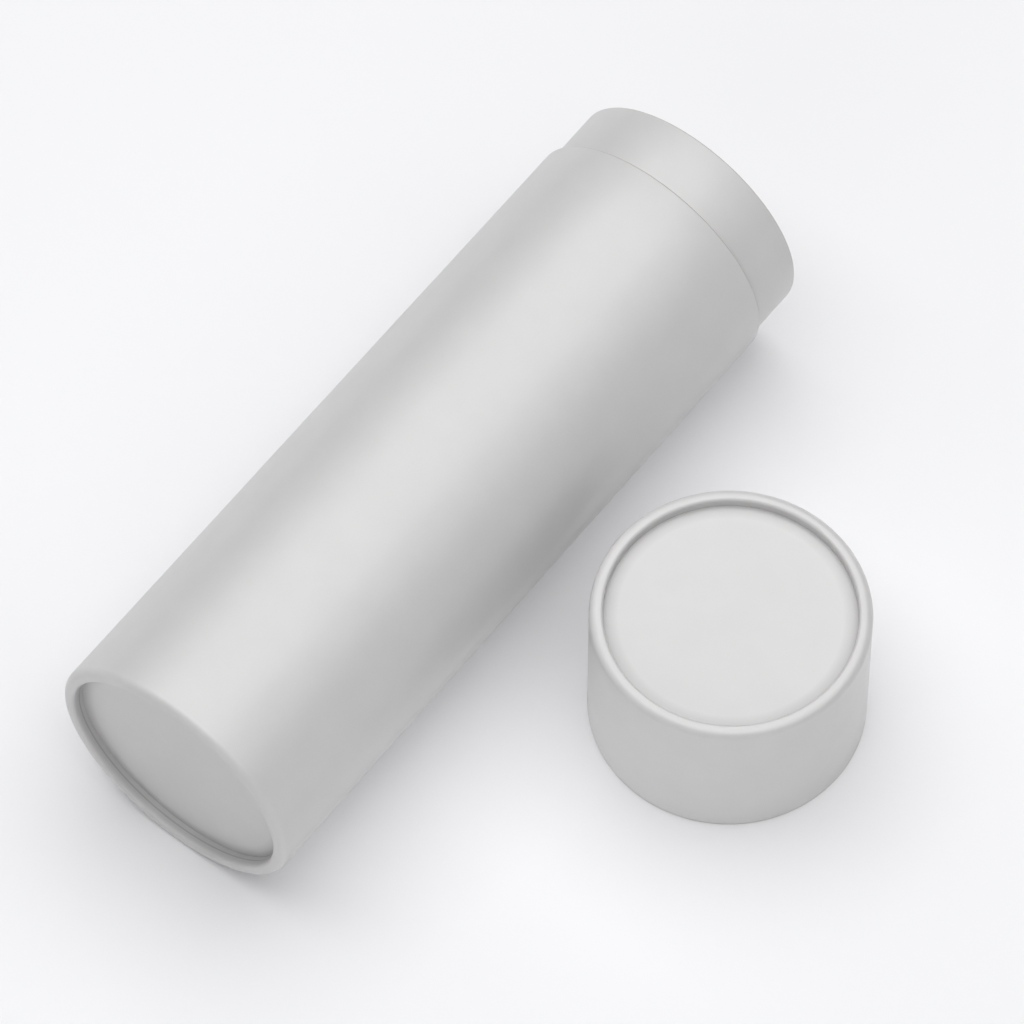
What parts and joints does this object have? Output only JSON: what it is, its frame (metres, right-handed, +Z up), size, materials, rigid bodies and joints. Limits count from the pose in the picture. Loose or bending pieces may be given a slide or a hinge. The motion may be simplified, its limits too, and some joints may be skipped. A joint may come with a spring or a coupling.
{
  "type": "paper tube",
  "caption": "Round paperboard tube pack with rolled rims and a push-on lid, lying on its side with the lid taken off and standing beside it.",
  "frame": {"origin": "centre of the footprint of the tube and its lid together, on the surface they rest on", "axes": "+X along the tube's axis from its rolled base to its open neck, +Z up along the lid's axis, the tube on the +Y side and the lid on the -Y side"},
  "size_m": [0.2374, 0.1752, 0.08],
  "materials": {
    "coated_board": "satin coated light grey paper on wound board",
    "neck_board": "satin coated light grey paper on wound board, cut edge at the mouth",
    "disc_board": "satin coated light grey pressed board"
  },
  "bodies": {
    "tube": {"body_tube": "coated_board", "neck_tube": "neck_board", "base_disc": "disc_board"},
    "lid": {"lid_tube": "coated_board", "lid_disc": "disc_board"}
  },
  "joints": [
    {"name": "lid_lift", "type": "slide", "parent": "tube", "child": "lid", "axis": [0, 0, 1], "range_m": [0, 0.09]}
  ]
}
